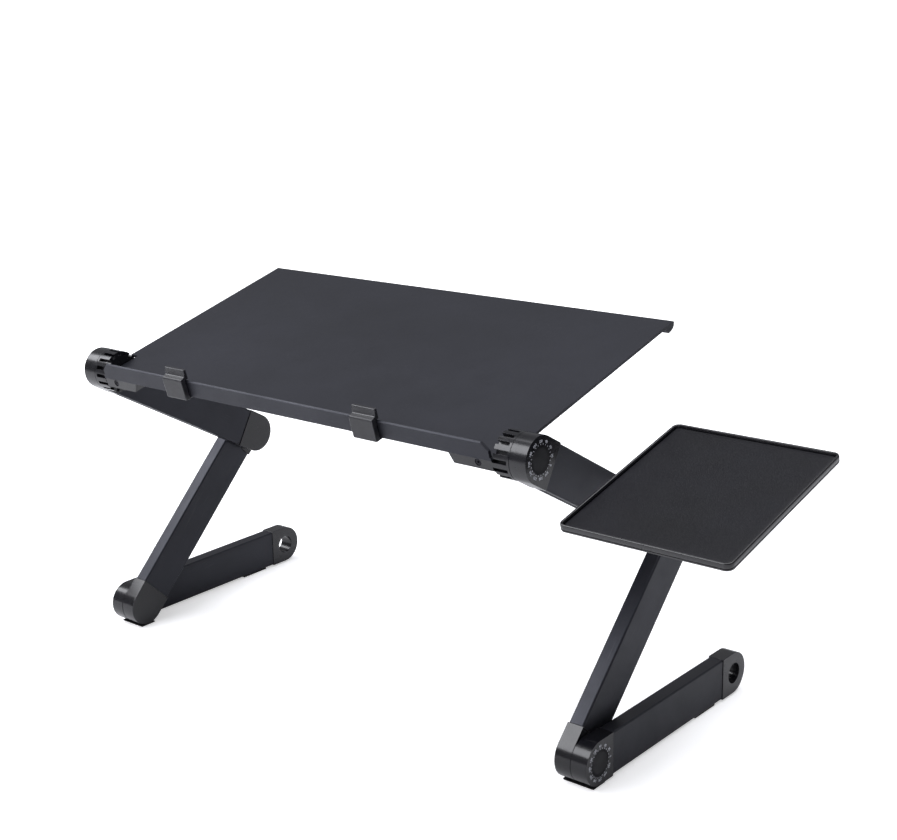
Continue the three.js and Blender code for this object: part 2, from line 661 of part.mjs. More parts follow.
function trayAssembly() {
  const group = new THREE.Group();
  const clamp = legFrame(UPPER_AT, UPPER_TILT);
  clamp.add(
    piece('tray_clamp_saddle', clampSaddle(), MOULDED),
    piece('tray_clamp_keeper', clampKeeper(), STEEL),
    piece('tray_thumb_screw', thumbScrew(), MOULDED),
    piece('tray_hinge_pin', hingePin(), STEEL),
  );
  const tilt = deg(UPPER_TILT);
  const tray = new THREE.Group();
  tray.position.set(
    0,
    TRAY.pivotAlong * Math.cos(tilt) - TRAY.pivotOff * Math.sin(tilt),
    TRAY.pivotAlong * Math.sin(tilt) + TRAY.pivotOff * Math.cos(tilt),
  );
  tray.rotation.x = deg(TRAY_TILT);
  tray.add(
    piece('tray_shell', trayShell(), TRAY_SHELL),
    piece('tray_mat', trayMat(), TRAY_PAD),
  );
  group.add(clamp, tray);
  return group;
}

// ---------------------------------------------------------------- the whole stand
const stand = new THREE.Group();
stand.add(topAssembly(), leg('left', -1), leg('right', 1), trayAssembly());
stand.updateMatrixWorld(true);
const bounds = new THREE.Box3().setFromObject(stand, true);
const middle = bounds.getCenter(new THREE.Vector3());
stand.position.set(-middle.x, -middle.y, -bounds.min.z);
stand.updateMatrixWorld(true);

export default stand;
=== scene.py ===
"""Looks of a folding laptop stand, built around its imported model, in metres.

Each sub-assembly is a class that keeps its sizes as fields, builds its meshes and dresses them.
Plain pieces are welded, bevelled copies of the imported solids; dials, springs, grips, treads and
the mouse tray are made here.
"""

import json
import logging
import math
from dataclasses import dataclass
from enum import Enum
from typing import Sequence

import bmesh
import bpy
from mathutils import Matrix, Vector


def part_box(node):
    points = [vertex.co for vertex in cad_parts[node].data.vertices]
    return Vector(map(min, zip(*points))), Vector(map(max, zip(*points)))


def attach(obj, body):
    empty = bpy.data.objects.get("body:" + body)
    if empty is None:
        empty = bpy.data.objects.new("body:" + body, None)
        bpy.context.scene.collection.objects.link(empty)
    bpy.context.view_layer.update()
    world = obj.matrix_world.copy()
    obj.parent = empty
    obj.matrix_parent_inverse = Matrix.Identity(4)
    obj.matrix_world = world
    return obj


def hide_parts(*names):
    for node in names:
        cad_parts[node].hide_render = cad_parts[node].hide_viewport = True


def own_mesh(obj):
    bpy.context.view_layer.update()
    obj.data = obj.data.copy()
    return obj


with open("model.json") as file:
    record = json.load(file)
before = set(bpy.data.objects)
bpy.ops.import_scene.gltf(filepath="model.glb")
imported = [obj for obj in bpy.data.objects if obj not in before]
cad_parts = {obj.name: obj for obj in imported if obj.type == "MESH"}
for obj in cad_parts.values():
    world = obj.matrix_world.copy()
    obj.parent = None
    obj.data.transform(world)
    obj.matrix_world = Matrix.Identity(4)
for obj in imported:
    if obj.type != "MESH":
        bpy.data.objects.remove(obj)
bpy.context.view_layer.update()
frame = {"nodes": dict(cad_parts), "record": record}

LOG = logging.getLogger("laptop_stand")
MM = 0.001

Colour = tuple[float, float, float, float]
Point = tuple[float, float]


class Hand(Enum):
    """The two legs; the value is the sign of X that points outwards."""

    LEFT = -1
    RIGHT = 1

    @property
    def word(self) -> str:
        """Name used in node and body names."""
        return self.name.lower()


class LegJoint(Enum):
    """Joints of one leg; the value is (joint word, body outside the joint, tilt of that body)."""

    TOP = ("top", "upper_leg", -30)
    KNEE = ("knee", "middle_leg", -135)
    ANKLE = ("ankle", "foot", 0)

    @property
    def word(self) -> str:
        """Name used in node and joint names."""
        return self.value[0]

    @property
    def body_word(self) -> str:
        """Name of the leg piece outside this joint."""
        return self.value[1]

    @property
    def piece_word(self) -> str:
        """Name of that leg piece in node names."""
        return self.body_word.removesuffix("_leg")

    @property
    def tilt(self) -> float:
        """Angle of that leg piece from the floor, in radians."""
        return math.radians(self.value[2])


# ---------------------------------------------------------------- colours and node trees
def linear(code: str) -> Colour:
    """Turns an sRGB hex colour into linear light.

    Args:
        code: Colour such as "#26272c".

    Returns:
        Red, green, blue and an alpha of 1.
    """
    parts = [int(code[i:i + 2], 16) / 255 for i in (1, 3, 5)]
    curve = [c / 12.92 if c <= 0.04045 else ((c + 0.055) / 1.055) ** 2.4 for c in parts]
    return (curve[0], curve[1], curve[2], 1.0)


def grey(value: float) -> Colour:
    """A grey for fades that drive roughness or height."""
    return (value, value, value, 1.0)


def add_node(tree: bpy.types.NodeTree, kind: str, settings: dict | None = None,
             inputs: dict | None = None) -> bpy.types.Node:
    """Adds a node to a tree, sets it up and links it.

    Args:
        tree: Node tree that takes the node.
        kind: Blender's name for the node type.
        settings: Attributes of the node.
        inputs: Values or output sockets by input name or number.

    Returns:
        The new node.
    """
    node = tree.nodes.new(kind)
    for key, value in (settings or {}).items():
        setattr(node, key, value)
    for key, value in (inputs or {}).items():
        if isinstance(value, bpy.types.NodeSocket):
            tree.links.new(value, node.inputs[key])
        else:
            node.inputs[key].default_value = value
    return node


def fade(tree: bpy.types.NodeTree, source: bpy.types.NodeSocket, levels: tuple[float, float],
         low: Colour = grey(0.0), high: Colour = grey(1.0)) -> bpy.types.NodeSocket:
    """Fades from one colour to another while a value passes from one level to the next.

    Args:
        tree: Node tree that takes the nodes.
        source: Value that drives the fade.
        levels: Values at which the fade starts and ends.
        low: Colour up to the first level.
        high: Colour from the second level on.

    Returns:
        The faded colour.
    """
    node = add_node(tree, "ShaderNodeValToRGB", inputs={"Fac": source})
    for element, level, colour in zip(node.color_ramp.elements, levels, (low, high)):
        element.position = level
        element.color = colour
    return node.outputs["Color"]


# ---------------------------------------------------------------- finishes
# Levels between which a pattern fades in; noise runs from 0 to 1 and stays mostly near 0.5.
PATCH_LEVELS = (0.35, 0.7)
SMEAR_LEVELS = (0.3, 0.7)
DUST_LEVELS = (0.70, 0.78)
RUB_LEVELS = (0.62, 0.66)
RUB_ZONE_LEVELS = (0.5, 0.65)
VALLEY_LEVELS = (0.0, 0.28)

SMEARS_PER_PATCH = 3
RUB_SQUEEZE = 0.02             # rub marks are fifty times as long as they are wide
RUB_ZONE_MM = 45.0
RUB_GAIN = 0.012               # light that a rub mark adds, in linear colour
DUST_MM = 0.9                  # coarser than real dust, so that it shows
DUST_COLOUR = "#8a8a90"
COAT_ROUGHNESS = 0.12
VALLEY_WOBBLE_MM = 0.8
MIX_A, MIX_B, MIXED = 6, 7, 2  # colour sockets of a Mix node: two inputs and the output


@dataclass(frozen=True)
class Finish:
    """A surface: two close colours in soft patches, a fine texture and long-scale gloss changes.

    Fields in millimetres are real sizes. grain_stretch draws the grain out along the piece, and
    turn is the angle in radians that the piece leans at. A scratch_mm or dust of 0 leaves the
    surface without rub marks or dust.
    """

    name: str
    colour: str
    patch_colour: str
    metallic: float
    roughness: float
    roughness_spread: float
    grain_mm: float
    grain_height_mm: float
    patch_mm: float = 60.0
    grain_stretch: float = 1.0
    scratch_mm: float = 0.0
    turn: float = 0.0
    coat: float = 0.0
    specular: float = 0.5
    dust: float = 0.0

    def coordinates(self, tree: bpy.types.NodeTree) -> bpy.types.NodeSocket:
        """Turns object coordinates so that Y runs along the piece.

        Args:
            tree: Node tree that takes the nodes.

        Returns:
            The turned coordinates, in metres.
        """
        place = add_node(tree, "ShaderNodeTexCoord")
        turned = add_node(tree, "ShaderNodeMapping", {"vector_type": "POINT"}, {
            "Vector": place.outputs["Object"], "Rotation": (-self.turn, 0.0, 0.0)})
        return turned.outputs["Vector"]

    def blotches(self, tree: bpy.types.NodeTree, vector: bpy.types.NodeSocket, size_mm: float,
                 detail: float = 3.0, roughness: float = 0.55) -> bpy.types.NodeSocket:
        """Makes soft blotches.

        Args:
            tree: Node tree that takes the nodes.
            vector: Coordinates in metres.
            size_mm: Width of a blotch, roughly.
            detail: Number of finer layers laid over it.
            roughness: Strength of the finer layers.

        Returns:
            A value from 0 to 1.
        """
        node = add_node(tree, "ShaderNodeTexNoise", {"noise_dimensions": "3D"}, {
            "Vector": vector, "Scale": 1 / (size_mm * MM), "Detail": detail,
            "Roughness": roughness})
        return node.outputs["Fac"]

    def grain(self, tree: bpy.types.NodeTree,
              vector: bpy.types.NodeSocket) -> bpy.types.NodeSocket:
        """Makes the fine texture.

        Args:
            tree: Node tree that takes the nodes.
            vector: Coordinates in metres.

        Returns:
            A height from 0 to 1.
        """
        drawn = add_node(tree, "ShaderNodeMapping", {"vector_type": "POINT"}, {
            "Vector": vector, "Scale": (1.0, 1 / self.grain_stretch, 1.0)})
        return self.blotches(tree, drawn.outputs["Vector"], self.grain_mm, detail=2.0)

    def rubs(self, tree: bpy.types.NodeTree,
             vector: bpy.types.NodeSocket) -> bpy.types.NodeSocket:
        """Makes thin rub marks along the piece, here and there.

        Args:
            tree: Node tree that takes the nodes.
            vector: Coordinates in metres.

        Returns:
            A mask, 1 on a mark.
        """
        drawn = add_node(tree, "ShaderNodeMapping", {"vector_type": "POINT"}, {
            "Vector": vector, "Scale": (1.0, RUB_SQUEEZE, 1.0)})
        lines = self.blotches(tree, drawn.outputs["Vector"], self.scratch_mm, detail=2.0)
        marks = fade(tree, lines, RUB_LEVELS)
        zones = fade(tree, self.blotches(tree, vector, RUB_ZONE_MM), RUB_ZONE_LEVELS)
        both = add_node(tree, "ShaderNodeMath", {"operation": "MULTIPLY"}, {0: marks, 1: zones})
        return both.outputs[0]

    def base_colour(self, tree: bpy.types.NodeTree,
                    vector: bpy.types.NodeSocket) -> bpy.types.NodeSocket:
        """Makes the colour, with its patches, rub marks and dust.

        Args:
            tree: Node tree that takes the nodes.
            vector: Coordinates in metres.

        Returns:
            The colour.
        """
        patches = self.blotches(tree, vector, self.patch_mm, detail=4.0)
        colour = fade(tree, patches, PATCH_LEVELS, linear(self.colour), linear(self.patch_colour))
        if self.scratch_mm:
            rubbed = add_node(tree, "ShaderNodeMix", {"data_type": "RGBA", "blend_type": "ADD"}, {
                "Factor": self.rubs(tree, vector), MIX_A: colour, MIX_B: grey(RUB_GAIN)})
            colour = rubbed.outputs[MIXED]
        if self.dust:
            specks = fade(tree, self.blotches(tree, vector, DUST_MM, detail=1.0), DUST_LEVELS)
            thin = add_node(tree, "ShaderNodeMath", {"operation": "MULTIPLY"}, {
                0: specks, 1: self.dust})
            dusty = add_node(tree, "ShaderNodeMix", {"data_type": "RGBA"}, {
                "Factor": thin.outputs[0], MIX_A: colour, MIX_B: linear(DUST_COLOUR)})
            colour = dusty.outputs[MIXED]
        return colour

    def build(self) -> bpy.types.Material:
        """Makes the material.

        Returns:
            A node material that reads object coordinates only.
        """
        material = bpy.data.materials.new(self.name)
        material.use_nodes = True
        tree = material.node_tree
        tree.nodes.clear()
        vector = self.coordinates(tree)
        smears = self.blotches(tree, vector, self.patch_mm / SMEARS_PER_PATCH, detail=5.0,
                               roughness=0.65)
        rough = fade(tree, smears, SMEAR_LEVELS, grey(self.roughness - self.roughness_spread),
                     grey(self.roughness + self.roughness_spread))
        bump = add_node(tree, "ShaderNodeBump", inputs={
            "Strength": 1.0, "Distance": self.grain_height_mm * MM,
            "Height": self.grain(tree, vector)})
        shader = add_node(tree, "ShaderNodeBsdfPrincipled", inputs={
            "Base Color": self.base_colour(tree, vector), "Roughness": rough,
            "Normal": bump.outputs["Normal"], "Metallic": self.metallic,
            "Specular IOR Level": self.specular, "Coat Weight": self.coat,
            "Coat Roughness": COAT_ROUGHNESS})
        add_node(tree, "ShaderNodeOutputMaterial", inputs={"Surface": shader.outputs["BSDF"]})
        return material


@dataclass(frozen=True)
class LeatherGrain(Finish):
    """Pressed leather grain: pebbles parted by fine valleys."""

    def grain(self, tree: bpy.types.NodeTree,
              vector: bpy.types.NodeSocket) -> bpy.types.NodeSocket:
        """Makes the pebbles, from the distance to the nearest valley.

        Args:
            tree: Node tree that takes the nodes.
            vector: Coordinates in metres.

        Returns:
            A height from 0 to 1.
        """
        wobble = self.blotches(tree, vector, self.grain_mm * 2)
        shift = VALLEY_WOBBLE_MM * MM
        shifted = add_node(tree, "ShaderNodeVectorMath", {"operation": "MULTIPLY_ADD"}, {
            0: wobble, 1: (shift, shift, shift), 2: vector})
        cells = add_node(tree, "ShaderNodeTexVoronoi", {"feature": "DISTANCE_TO_EDGE"}, {
            "Vector": shifted.outputs[0], "Scale": 1 / (self.grain_mm * MM)})
        return fade(tree, cells.outputs["Distance"], VALLEY_LEVELS)


# Sheet aluminium, blasted then black anodised: dark, even, with a silky sheen and fine grit.
SHEET = Finish("anodised_blasted_aluminium_sheet", "#292a30", "#2e2f36",
               metallic=0.55, roughness=0.47, roughness_spread=0.05, grain_mm=0.7,
               grain_height_mm=0.018, patch_mm=120.0, scratch_mm=0.8, dust=0.05)
# The same sheet on its bevelled edges, painted paler and a little smoother: a painted highlight
# along the folded edges.
SHEET_EDGE_HIGHLIGHT = Finish("anodised_sheet_rubbed_edge", "#3f4048", "#4a4b54",
                    metallic=0.75, roughness=0.34, roughness_spread=0.05, grain_mm=0.7,
                    grain_height_mm=0.010, scratch_mm=0.8)
# Zinc plated steel: pale bluish metal with small cloudy patches.
ZINC = Finish("zinc_plated_turned_steel", "#9a9ea6", "#8a8e94",
              metallic=1.0, roughness=0.32, roughness_spread=0.06, grain_mm=0.3,
              grain_height_mm=0.006, patch_mm=6.0)
# Steel screws blackened in a hot bath: dark, with a soft metal shine.
DARK_SCREW = Finish("black_oxide_screw_steel", "#26262b", "#1b1b1f",
                    metallic=0.9, roughness=0.36, roughness_spread=0.06, grain_mm=0.3,
                    grain_height_mm=0.006, patch_mm=4.0)
# Glass-filled nylon from a polished mould: near black, glossy, with a faint flow texture.
NYLON = Finish("black_moulded_nylon", "#0b0b0f", "#111116",
               metallic=0.0, roughness=0.24, roughness_spread=0.04, grain_mm=1.1,
               grain_height_mm=0.005, patch_mm=25.0, coat=0.3, specular=0.35, dust=0.05)
# The same nylon on its bevelled edges, painted a little paler and glossier: a painted highlight
# along them.
NYLON_EDGE_HIGHLIGHT = Finish("black_moulded_nylon_edge", "#17171c", "#1f1f26",
                    metallic=0.0, roughness=0.22, roughness_spread=0.03, grain_mm=1.1,
                    grain_height_mm=0.004, patch_mm=25.0, coat=0.3)
# Nylon from a spark-eroded mould: near black and matt, with fine pits that grip a finger.
BUTTON = Finish("spark_eroded_button_nylon", "#0c0c10", "#121217",
                metallic=0.0, roughness=0.50, roughness_spread=0.06, grain_mm=0.45,
                grain_height_mm=0.030, patch_mm=12.0, specular=0.3)
# Nylon from a lightly etched mould: a soft satin black.
CLIP = Finish("satin_clip_nylon", "#141418", "#1b1b20",
              metallic=0.0, roughness=0.42, roughness_spread=0.05, grain_mm=0.6,
              grain_height_mm=0.016, patch_mm=14.0, dust=0.06)
# Moulded rubber: dead matt black that holds dust.
RUBBER = Finish("moulded_nitrile_rubber", "#0b0b0d", "#101013",
                metallic=0.0, roughness=0.82, roughness_spread=0.06, grain_mm=0.8,
                grain_height_mm=0.040, patch_mm=14.0, dust=0.15)
# ABS from a fine mould: near black, with clear highlights along its rolled rim.
TRAY_ABS = Finish("satin_tray_abs", "#08080c", "#0c0c12",
                  metallic=0.0, roughness=0.24, roughness_spread=0.05, grain_mm=0.8,
                  grain_height_mm=0.010, patch_mm=50.0, coat=0.45, specular=0.4, dust=0.05)
# Soft plastic pressed with leather pebbles: their valleys break up the shine.
TRAY_SKIN = LeatherGrain("pressed_leather_grain_tray_skin", "#08080d", "#0d0d14",
                         metallic=0.0, roughness=0.42, roughness_spread=0.08, grain_mm=1.6,
                         grain_height_mm=0.07, patch_mm=70.0, specular=0.26, dust=0.04)
# Pad printed ink: pale grey in small uneven patches.
INK = Finish("pad_printed_ink", "#d3d5dc", "#a9abb3",
             metallic=0.0, roughness=0.55, roughness_spread=0.06, grain_mm=0.5,
             grain_height_mm=0.02, patch_mm=3.0)


def extruded_tube(joint: LegJoint) -> Finish:
    """Finish of a leg tube: black anodised, extruded aluminium, whose grain runs along it.

    Args:
        joint: Joint at the upper end of the leg piece, which gives its tilt.

    Returns:
        The finish turned to that leg piece.
    """
    return Finish(f"anodised_extruded_tube_{joint.body_word}", "#26272d", "#2c2d34",
                  metallic=0.6, roughness=0.40, roughness_spread=0.05, grain_mm=0.5,
                  grain_height_mm=0.014, patch_mm=80.0, grain_stretch=14.0, scratch_mm=0.6,
                  turn=joint.tilt, dust=0.06)


class Palette:
    """Makes each material once."""

    def __init__(self) -> None:
        """Starts with no materials."""
        self.made: dict[str, bpy.types.Material] = {}

    def get(self, finish: Finish) -> bpy.types.Material:
        """Gives the material of a finish, which it builds on first use.

        Args:
            finish: Finish asked for.

        Returns:
            The one material of that finish.
        """
        if finish.name not in self.made:
            self.made[finish.name] = finish.build()
        return self.made[finish.name]


PALETTE = Palette()


# ---------------------------------------------------------------- places and names

def body_of(node: str) -> str:
    """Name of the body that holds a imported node."""
    bodies = frame["record"]["behaviour"]["bodies"]
    return next(name for name, nodes in bodies.items() if node in nodes)


def joint_place(name: str) -> Vector:
    """Point on a hinge's axis, in metres."""
    joints = frame["record"]["behaviour"]["joints"]
    return Vector(next(j["pos_m"] for j in joints if j["name"] == name))


# ---------------------------------------------------------------- mesh helpers
SHARP_DEGREES = 32.0     # folds above this stay sharp
ROUND_DEGREES = 60.0     # the same for small round shapes with few faces
FLAT_DEGREES = 0.5       # folds below this are flat
INK_WELD = 1e-6          # gap closed in printed figures, in metres
LEVEL = 1e-5             # two points closer in height than this are level, in metres


def add_object(name: str, data: bpy.types.ID) -> bpy.types.Object:
    """Adds an object to the scene.

    Args:
        name: Object name.
        data: Its mesh, text, light or camera.

    Returns:
        The object, at the origin.
    """
    thing = bpy.data.objects.new(name, data)
    bpy.context.scene.collection.objects.link(thing)
    return thing


def plain_mesh(carrier: bpy.types.Object) -> bpy.types.Mesh:
    """Turns an object into a plain mesh with its modifiers applied.

    Args:
        carrier: Object, which is removed.

    Returns:
        The mesh.
    """
    graph = bpy.context.evaluated_depsgraph_get()
    mesh = bpy.data.meshes.new_from_object(carrier.evaluated_get(graph), depsgraph=graph)
    bpy.data.objects.remove(carrier)
    return mesh


def new_object(name: str, mesh: bpy.types.Mesh, finishes: Sequence[Finish]) -> bpy.types.Object:
    """Puts a mesh in the scene with its materials.

    Args:
        name: Object and mesh name.
        mesh: Mesh with its place in its points.
        finishes: Finishes in the order of the material slots.

    Returns:
        The object, at the origin.
    """
    mesh.name = name
    for finish in finishes:
        mesh.materials.append(PALETTE.get(finish))
    return add_object(name, mesh)


def shade(mesh: bpy.types.Mesh, sharp_degrees: float = SHARP_DEGREES) -> None:
    """Smooths faces and keeps folds above an angle sharp."""
    mesh.shade_smooth()
    mesh.set_sharp_from_angle(angle=math.radians(sharp_degrees))


def weigh_normals(mesh: bpy.types.Mesh) -> bpy.types.Mesh:
    """Lets wide faces set the shading, so that only the bevels between them bend it.

    Args:
        mesh: Shaded mesh, which is used up.

    Returns:
        A copy with weighted normals.
    """
    carrier = add_object("weighing", mesh)
    modifier = carrier.modifiers.new("weights", "WEIGHTED_NORMAL")
    modifier.keep_sharp = True
    modifier.mode = "FACE_AREA"
    return plain_mesh(carrier)


def finish_bmesh(bm: bmesh.types.BMesh, sharp_degrees: float = SHARP_DEGREES) -> bpy.types.Mesh:
    """Turns a bmesh into a shaded mesh with its faces pointing out.

    Args:
        bm: Closed shapes, which are used up.
        sharp_degrees: Angle above which a fold stays sharp.

    Returns:
        The mesh.
    """
    bmesh.ops.recalc_face_normals(bm, faces=bm.faces)
    mesh = bpy.data.meshes.new("piece")
    bm.to_mesh(mesh)
    bm.free()
    shade(mesh, sharp_degrees)
    return mesh


def prism(bm: bmesh.types.BMesh, outline: Sequence[Point], low: float, high: float,
          place: Matrix) -> None:
    """Adds a closed prism to a bmesh.

    Args:
        bm: Mesh that takes it.
        outline: Outline points in the first two axes.
        low: Start along the third axis.
        high: End along the third axis.
        place: Matrix from the outline's axes to the object's.
    """
    rings = [[bm.verts.new(place @ Vector((a, b, c))) for a, b in outline] for c in (low, high)]
    count = len(outline)
    bm.faces.new(list(reversed(rings[0])))
    bm.faces.new(rings[1])
    for i in range(count):
        j = (i + 1) % count
        bm.faces.new((rings[0][i], rings[0][j], rings[1][j], rings[1][i]))


def holed_plate(bm: bmesh.types.BMesh, outline: Sequence[Point],
                hole: Sequence[Point], low: float, high: float,
                place: Matrix) -> None:
    """Adds a closed plate with one hole to a bmesh.

    Args:
        bm: Mesh that takes it.
        outline: Outer outline in millimetres, in the first two axes.
        hole: Outline of the hole in millimetres.
        low: Start along the third axis, in metres.
        high: End along the third axis, in metres.
        place: Matrix from the outline's axes to the object's.
    """
    loops = []
    for points in (outline, hole):
        rings = [[bm.verts.new(place @ Vector((a * MM, b * MM, c))) for a, b in points]
                 for c in (low, high)]
        loops.append(rings)
        for i in range(len(points)):
            j = (i + 1) % len(points)
            bm.faces.new((rings[0][i], rings[0][j], rings[1][j], rings[1][i]))
    for end in (0, 1):
        edges = []
        for rings in loops:
            ring = rings[end]
            edges += [bm.edges.get((ring[i - 1], ring[i])) for i in range(len(ring))]
        bmesh.ops.triangle_fill(bm, use_beauty=True, use_dissolve=False, edges=edges)


def outward_axes(side: int, centre: Vector, turn: float = 0.0) -> Matrix:
    """Matrix whose Z points outwards from the stand and whose origin is a joint's centre.

    Args:
        side: Sign of X that points outwards.
        centre: Origin in the object's axes, in metres.
        turn: Angle of the first axis about the outward axis, in radians.

    Returns:
        A right-handed placing matrix.
    """
    outward = Vector((side, 0, 0))
    first = Vector((0, math.cos(turn), math.sin(turn)))
    second = outward.cross(first)
    axes = Matrix((first, second, outward)).transposed().to_4x4()
    return Matrix.Translation(centre) @ axes


# ---------------------------------------------------------------- welded copies of solids
@dataclass
class DressedSolid:
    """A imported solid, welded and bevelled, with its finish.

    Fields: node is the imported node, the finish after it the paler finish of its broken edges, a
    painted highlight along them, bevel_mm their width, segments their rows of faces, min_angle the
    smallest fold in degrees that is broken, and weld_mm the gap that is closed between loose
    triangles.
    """

    node: str
    finish: Finish
    # Paler copy of the finish for the bevels, a painted highlight along every broken edge; None
    # keeps one finish.
    edge_finish: Finish | None = None
    bevel_mm: float = 0.35
    segments: int = 2
    min_angle: float = 35.0
    weld_mm: float = 0.002

    def mesh(self) -> bpy.types.Mesh:
        """Copies the solid's mesh and breaks its sharp edges.

        Returns:
            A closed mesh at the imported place.
        """
        bm = bmesh.new()
        bm.from_mesh(frame["nodes"][self.node].data)
        bmesh.ops.remove_doubles(bm, verts=bm.verts, dist=self.weld_mm * MM)
        bmesh.ops.dissolve_limit(bm, angle_limit=math.radians(FLAT_DEGREES), verts=bm.verts,
                                 edges=bm.edges, use_dissolve_boundaries=False)
        for face in bm.faces:
            face.material_index = 0
        if self.bevel_mm:
            limit = math.radians(self.min_angle)
            sharp = [e for e in bm.edges if e.is_manifold and e.calc_face_angle(0.0) > limit]
            # The bevel faces take the second material, the paler painted edge highlight, when
            # there is one.
            bmesh.ops.bevel(bm, geom=sharp, offset=self.bevel_mm * MM, offset_type="OFFSET",
                            segments=self.segments, profile=0.5, affect="EDGES",
                            clamp_overlap=True, material=1 if self.edge_finish else -1)
        bmesh.ops.triangulate(bm, faces=[f for f in bm.faces if len(f.verts) > 4])
        mesh = bpy.data.meshes.new(self.node)
        bm.to_mesh(mesh)
        bm.free()
        shade(mesh)
        return weigh_normals(mesh)

    def dress(self) -> bpy.types.Object:
        """Builds the piece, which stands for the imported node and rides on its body.

        Returns:
            The piece.
        """
        finishes = [self.finish] + ([self.edge_finish] if self.edge_finish else [])
        thing = new_object(f"{self.node}_finished", self.mesh(), finishes)
        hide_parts(self.node)
        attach(thing, body_of(self.node))
        LOG.info("dressed %s: %d faces", self.node, len(thing.data.polygons))
        return thing


# ---------------------------------------------------------------- geometry node trees
class NodeShape:
    """Base for shapes that a geometry node tree makes on one object."""

    def __init__(self, name: str) -> None:
        """Starts an empty tree with a geometry output."""
        self.tree = bpy.data.node_groups.new(name, "GeometryNodeTree")
        self.tree.interface.new_socket("Geometry", in_out="OUTPUT",
                                       socket_type="NodeSocketGeometry")
        self.source = self.tree.nodes.new("NodeGroupInput")
        self.sink = self.tree.nodes.new("NodeGroupOutput")
        self.sockets: dict[str, str] = {}

    def size(self, name: str, kind: str = "NodeSocketFloat") -> bpy.types.NodeSocket:
        """Adds a named input to the tree.

        Args:
            name: Name of the input.
            kind: Blender's name for the socket type.

        Returns:
            The input's socket inside the tree.
        """
        item = self.tree.interface.new_socket(name, in_out="INPUT", socket_type=kind)
        self.sockets[name] = item.identifier
        return self.source.outputs[name]

    def close(self, geometry: bpy.types.NodeSocket, finish: Finish) -> None:
        """Ends the tree with Realize Instances and Set Material.

        Args:
            geometry: Shape made by the tree.
            finish: Finish that it takes.
        """
        real = add_node(self.tree, "GeometryNodeRealizeInstances", inputs={"Geometry": geometry})
        dressed = add_node(self.tree, "GeometryNodeSetMaterial", inputs={
            "Geometry": real.outputs[0], "Material": PALETTE.get(finish)})
        self.tree.links.new(dressed.outputs[0], self.sink.inputs["Geometry"])

    def bake(self, name: str, values: dict, place: Matrix,
             sharp_degrees: float = SHARP_DEGREES) -> bpy.types.Object:
        """Runs the tree once and keeps the result as a plain mesh.

        Args:
            name: Name of the new object.
            values: Input values by input name.
            place: Matrix from the tree's axes to the object's.
            sharp_degrees: Angle above which a fold stays sharp.

        Returns:
            The object, at the origin, with no modifier.
        """
        carrier = add_object(f"{name}_carrier", bpy.data.meshes.new(name))
        modifier = carrier.modifiers.new("shape", "NODES")
        modifier.node_group = self.tree
        for key, value in values.items():
            modifier[self.sockets[key]] = value
        mesh = plain_mesh(carrier)
        mesh.transform(place)
        mesh.name = name
        shade(mesh, sharp_degrees)
        return add_object(name, mesh)


class RadialBars(NodeShape):
    """Small bars set round a circle, such as tick marks or grip ribs."""

    def __init__(self, name: str, finish: Finish) -> None:
        """Builds the tree: a circle of points, each with a bar that points at the centre.

        Args:
            name: Name of the tree.
            finish: Finish of the bars.
        """
        super().__init__(name)
        count = self.size("Count", "NodeSocketInt")
        radius = self.size("Radius")
        length = self.size("Bar length")
        width = self.size("Bar width")
        height = self.size("Bar height")
        circle = add_node(self.tree, "GeometryNodeMeshCircle", inputs={
            "Vertices": count, "Radius": radius})
        place = add_node(self.tree, "GeometryNodeInputPosition")
        turn = add_node(self.tree, "FunctionNodeAlignEulerToVector", {"axis": "X"},
                        {"Vector": place.outputs[0]})
        bar_size = add_node(self.tree, "ShaderNodeCombineXYZ", inputs={
            "X": length, "Y": width, "Z": height})
        bar = add_node(self.tree, "GeometryNodeMeshCube", inputs={
            "Size": bar_size.outputs[0], "Vertices X": 2, "Vertices Y": 2, "Vertices Z": 2})
        spread = add_node(self.tree, "GeometryNodeInstanceOnPoints", inputs={
            "Points": circle.outputs[0], "Instance": bar.outputs[0], "Rotation": turn.outputs[0]})
        self.close(spread.outputs[0], finish)


class CoilSpring(NodeShape):
    """A helical wire that rises along Z from the origin's level."""

    WIRE_SIDES = 8
    POINTS_PER_TURN = 24

    def __init__(self, name: str, finish: Finish) -> None:
        """Builds the tree: a spiral swept with a round section.

        Args:
            name: Name of the tree.
            finish: Finish of the wire.
        """
        super().__init__(name)
        turns = self.size("Turns")
        radius = self.size("Coil radius")
        length = self.size("Length")
        wire = self.size("Wire radius")
        spiral = add_node(self.tree, "GeometryNodeCurveSpiral", inputs={
            "Resolution": self.POINTS_PER_TURN, "Rotations": turns, "Start Radius": radius,
            "End Radius": radius, "Height": length})
        section = add_node(self.tree, "GeometryNodeCurvePrimitiveCircle", {"mode": "RADIUS"}, {
            "Resolution": self.WIRE_SIDES, "Radius": wire})
        swept = add_node(self.tree, "GeometryNodeCurveToMesh", inputs={
            "Curve": spiral.outputs[0], "Profile Curve": section.outputs[0], "Fill Caps": True})
        self.close(swept.outputs[0], finish)


